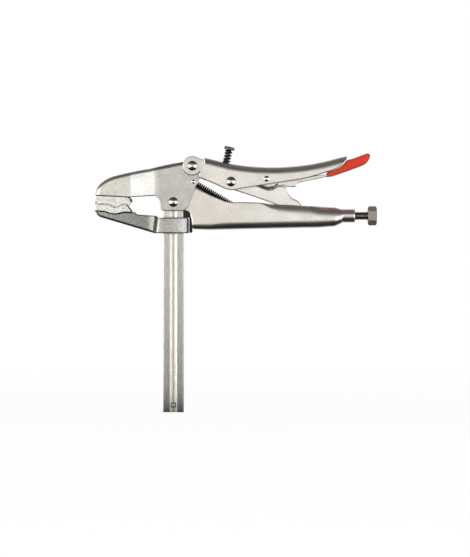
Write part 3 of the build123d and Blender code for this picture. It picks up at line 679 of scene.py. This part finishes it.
# Scuffs of about 0.8 mm, coarser than real turning marks so that they show.
scuff = add(tree, "ShaderNodeTexNoise", (0, place), ("Scale", 1200.0), ("Detail", 3.0))
dull = add(tree, "ShaderNodeMapRange", (0, scuff.outputs[0]), (1, 0.3), (2, 0.7), (3, 0.14), (4, 0.26))
tree.links.new(dull.outputs[0], shader.inputs["Roughness"])
tone = add(tree, "ShaderNodeValToRGB", (0, scuff.outputs[0]), stops=[(0.3, "#d3d0cc"), (0.7, "#e6e4e0")])
facing = add(tree, "ShaderNodeSeparateXYZ", (0, add(tree, "ShaderNodeTexCoord").outputs["Normal"]))
level = add(tree, "ShaderNodeMath", (0, facing.outputs["Y"]), operation="ABSOLUTE")
# Painted shade on faces that turn well away from front and back, such as each dome's steep edge.
dome_flank_shade = add(tree, "ShaderNodeValToRGB", (0, level.outputs[0]), stops=[(0.8, 0.12), (0.88, 1.0)])
flank_shaded_steel = add(
    tree,
    "ShaderNodeMix",
    (0, 1.0),
    (6, tone.outputs[0]),
    (7, dome_flank_shade.outputs[0]),
    data_type="RGBA",
    blend_type="MULTIPLY",
)
tree.links.new(crevice_shaded(tree, flank_shaded_steel.outputs[2], 0.08, 0.0009), shader.inputs["Base Color"])
give(
    rivet_steel,
    "jaw_pivot_rivet",
    "lever_pivot_rivet",
    "link_pivot_rivet",
    "spring_anchor_pin",
    "release_pivot_pin",
    "lever_pivot_bush",
    "link_spacers",
)

# Adjusting screw, limit screw and nut. Machine screws with a plain grey zinc finish. The hexagon and the
# limit screw, which fingers turn, are duller than the rod.

screw_zinc = nickel_plate(
    "zinc_plated_screw", [(0.0, "#8e8981"), (1.0, "#a19c93")], (0.12, 0.195), 0.8, 0.00004, speckle=0.8
)
hexagon_zinc = nickel_plate(
    "zinc_plated_hexagon",
    [(0.0, "#bab5ac"), (1.0, "#bab5ac")],
    (0.18, 0.195),
    1.0,
    0.00004,
    speckle=0.75,
    dullest=0.6,
)
limit_zinc = nickel_plate(
    "grey_zinc_screw",
    [(0.0, "#84827e"), (1.0, "#84827e")],
    (0.04, 0.07),
    0.8,
    0.00004,
    speckle=0.85,
    dullest=0.6,
)
give(screw_zinc, "adjusting_screw_rod")
give(hexagon_zinc, "adjusting_screw_head")
give(limit_zinc, "limit_screw", "limit_screw_nut")

# Anchor block. A block set in the handle's notch behind the bar, coloured blue-black.

blue_black_finish, tree, shader, place = finish_of("blue_black_block", 0.3)
speck = add(tree, "ShaderNodeTexNoise", (0, place), ("Scale", 1250.0), ("Detail", 2.0))
tone = add(tree, "ShaderNodeValToRGB", (0, speck.outputs[0]), stops=[(0.3, "#101216"), (0.7, "#1d2026")])
tree.links.new(tone.outputs[0], shader.inputs["Base Color"])
shader.inputs["Roughness"].default_value = 0.38
skin(tree, shader, speck.outputs[0], 0.00003)
give(blue_black_finish, "bar_anchor_block")

# Opening spring. Extension spring of black oxide wire. It hooks on the anchor pin in the head and on a
# pin in the fixed handle, pulls the upper jaw open and sags a little.

spring_black, tree, shader, place = finish_of("black_spring_wire", 0.6)
speck = add(tree, "ShaderNodeTexNoise", (0, place), ("Scale", 1500.0), ("Detail", 2.0))
tone = add(tree, "ShaderNodeValToRGB", (0, speck.outputs[0]), stops=[(0.3, "#121314"), (0.7, "#232527")])
tree.links.new(tone.outputs[0], shader.inputs["Base Color"])
shader.inputs["Roughness"].default_value = 0.36


def bend(start, leaving, end, arriving, reach, count=14):
    """Cubic curve between two points that leaves and arrives along unit directions."""
    t = np.linspace(0.0, 1.0, count)[1:-1, None]
    a, b = start + leaving * reach, end - arriving * reach
    return start * (1 - t) ** 3 + 3 * a * t * (1 - t) ** 2 + 3 * b * t**2 * (1 - t) + end * t**3


slope = math.radians(30.4)
along = np.array([math.cos(slope), 0.0, -math.sin(slope)])
below = np.array([-math.sin(slope), 0.0, -math.cos(slope)])
across = np.array([0.0, 1.0, 0.0])
turns, pitch, coil_radius, hook_radius = 24, 2.0, 3.0, 2.2
lead, sag, wire_radius, hook_reach = 4.0, 0.8, 0.65, 1.9
upper_pin = np.array([18.9, 0.0, 218.5])
lower_pin = upper_pin + along * (2 * lead + turns * pitch)
turn = np.linspace(0.0, 2 * np.pi * turns, turns * 24 + 1)[:, None]
coil_out = below * np.cos(turn) + across * np.sin(turn)
coil = upper_pin + along * (lead + pitch * turn / (2 * np.pi)) + below * sag + coil_out * coil_radius
hook_turn = np.radians(np.linspace(-270.0, 0.0, 28))[:, None]
hook_out = below * np.cos(hook_turn) + along * np.sin(hook_turn)
upper_hook = upper_pin + hook_out * hook_radius
lower_out = below * np.cos(hook_turn[::-1]) - along * np.sin(hook_turn[::-1])
lower_hook = lower_pin + lower_out * hook_radius
first_bend = bend(upper_hook[-1], along, coil[0], across, hook_reach)
last_bend = bend(coil[-1], across, lower_hook[0], along, hook_reach)
path = np.concatenate([upper_hook, first_bend, coil, last_bend, lower_hook])
straight_out = np.broadcast_to(below, first_bend.shape)
outward = np.concatenate([hook_out, straight_out, coil_out, straight_out, lower_out])
opening_spring = closed_mesh("opening_spring_wire", [wire(path, outward, wire_radius, 10)])
opening_spring.data.materials.append(spring_black)
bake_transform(opening_spring)
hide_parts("opening_spring")

# Limit screw's spring. Compression spring of like wire, with closed ends, that keeps the screw from
# turning by itself.

tilt = math.radians(12.0)
axis = np.array([math.sin(tilt), 0.0, math.cos(tilt)])
leftward = np.array([-math.cos(tilt), 0.0, math.sin(tilt)])
seat = np.array([50.1, 0.0, 236.45])
stand, limit_wire, limit_radius, limit_turns = 12.8, 0.8, 2.95, 4.6
turn = np.linspace(0.0, 2 * np.pi * limit_turns, 241)[:, None]
# The wire climbs at about half speed through the first and last half turns, which lie closed.
loose = np.clip((np.minimum(turn, turn[-1] - turn) / (2 * np.pi) - 0.5) / 0.35, 0, 1)
climb = np.cumsum(0.55 + 0.62 * loose)
climb = (climb - climb[0]) / (climb[-1] - climb[0])
low, high = limit_wire + 0.05, stand - limit_wire - 0.05
limit_out = across * np.cos(turn) + leftward * np.sin(turn)
path = seat + axis * (low + (high - low) * climb[:, None]) + limit_out * limit_radius
limit_spring = closed_mesh("limit_spring_wire", [wire(path, limit_out, limit_wire)])
limit_spring.data.materials.append(spring_black)
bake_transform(limit_spring)
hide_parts("limit_screw_spring")

# Release lever's sleeve. A cap of red vinyl, dipped to shape and pushed hot over the lever's tail: soft
# rounded edges, a slight orange peel, an open mouth at its front, and painted shade on its edges.

red_vinyl, tree, shader, place = finish_of("red_dipped_vinyl", 0.0)
# Orange peel about 2.4 mm across.
peel = add(tree, "ShaderNodeTexNoise", (0, place), ("Scale", 420.0), ("Detail", 2.0))
tone = add(tree, "ShaderNodeValToRGB", (0, peel.outputs[0]), stops=[(0.3, "#e2351f"), (0.7, "#e83d27")])
# Painted shade on faces that turn away from front and back.
facing = add(tree, "ShaderNodeSeparateXYZ", (0, add(tree, "ShaderNodeTexCoord").outputs["Normal"]))
level = add(tree, "ShaderNodeMath", (0, facing.outputs["Y"]), operation="ABSOLUTE")
vinyl_edge_shade = add(tree, "ShaderNodeValToRGB", (0, level.outputs[0]), stops=[(0.35, 0.5), (0.9, 1.0)])
vinyl_shaded = add(
    tree,
    "ShaderNodeMix",
    (0, 1.0),
    (6, tone.outputs[0]),
    (7, vinyl_edge_shade.outputs[0]),
    data_type="RGBA",
    blend_type="MULTIPLY",
)
tree.links.new(vinyl_shaded.outputs[2], shader.inputs["Base Color"])
shader.inputs["Roughness"].default_value = 0.45
shader.inputs["Specular IOR Level"].default_value = 0.3
raised = add(
    tree, "ShaderNodeBump", ("Strength", 1.0), ("Distance", 0.00004), ("Height", peel.outputs[0])
)
tree.links.new(raised.outputs[0], shader.inputs["Normal"])

# Lines from the lever's pivot, in millimetres: places along X, and there the sleeve's lower line, its
# upper line and half its width.
lever_pivot = np.array([18.0, 233.5])
knots = np.array([127.5, 132.6, 138.0, 142.0, 144.4, 146.2, 148.2, 151.0, 155.0, 160.0])
knots = np.append(knots, [163.0, 165.5, 167.4, 168.4, 168.8])
lows = np.array([-10.6, -9.8, -8.1, -6.7, -5.8, -5.2, -4.5, -3.5, -2.0, -0.1, 1.2, 3.2, 5.9, 7.9, 9.3])
highs = np.array([-5.9, -4.4, -2.2, 0.0, 2.7, 5.3, 6.1, 6.7, 8.0, 9.9, 11.0, 12.0, 11.9, 10.9, 9.5])
halves = np.array([9.4, 9.4, 9.4, 9.4, 9.4, 9.4, 9.4, 9.4, 9.4, 9.3, 9.1, 8.6, 7.4, 5.6, 2.4])


def sleeve_rings(x, inset=0.0, sharp=5.0, around=48):
    """Sections across the sleeve: a superellipse of power sharp between its lower and upper lines."""
    low, high, half = (np.interp(x, knots, line)[:, None] for line in (lows, highs, halves))
    angle = np.linspace(0.0, 2 * np.pi, around, endpoint=False)[None]
    c, s = np.cos(angle), np.sin(angle)
    y = np.sign(c) * np.abs(c) ** (2 / sharp) * (half - inset)
    z = (low + high) / 2 + np.sign(s) * np.abs(s) ** (2 / sharp) * ((high - low) / 2 - inset)
    return np.stack([np.broadcast_to(lever_pivot[0] + x[:, None], y.shape), y, lever_pivot[1] + z], -1)


# The lip at the mouth: how far back from the mouth each ring is, and how far inside the sleeve's skin.
lip = [(3.0, 1.35), (0.6, 1.3), (0.15, 1.0), (0.0, 0.7), (0.2, 0.25)]
mouth, tip_start, tip_reach = knots[0], 163.0, 5.8
tip_turn = np.radians(np.linspace(4, 90, 16))
tip_x = tip_start + tip_reach * np.sin(tip_turn)
body_x = np.concatenate([np.linspace(mouth + 0.7, tip_start, 70), tip_x])
lip_rings = [sleeve_rings(np.array([mouth + back]), inset) for back, inset in lip]
rings = np.concatenate([*lip_rings, sleeve_rings(body_x)])
sleeve = closed_mesh("vinyl_sleeve", [rings])
sleeve.data.materials.append(red_vinyl)
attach(sleeve, "release")
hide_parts("release_grip")

scene_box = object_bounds()
boxes = {"solids": solid_box, "scene": scene_box}
plain = {name: [[float(v) for v in corner] for corner in box] for name, box in boxes.items()}
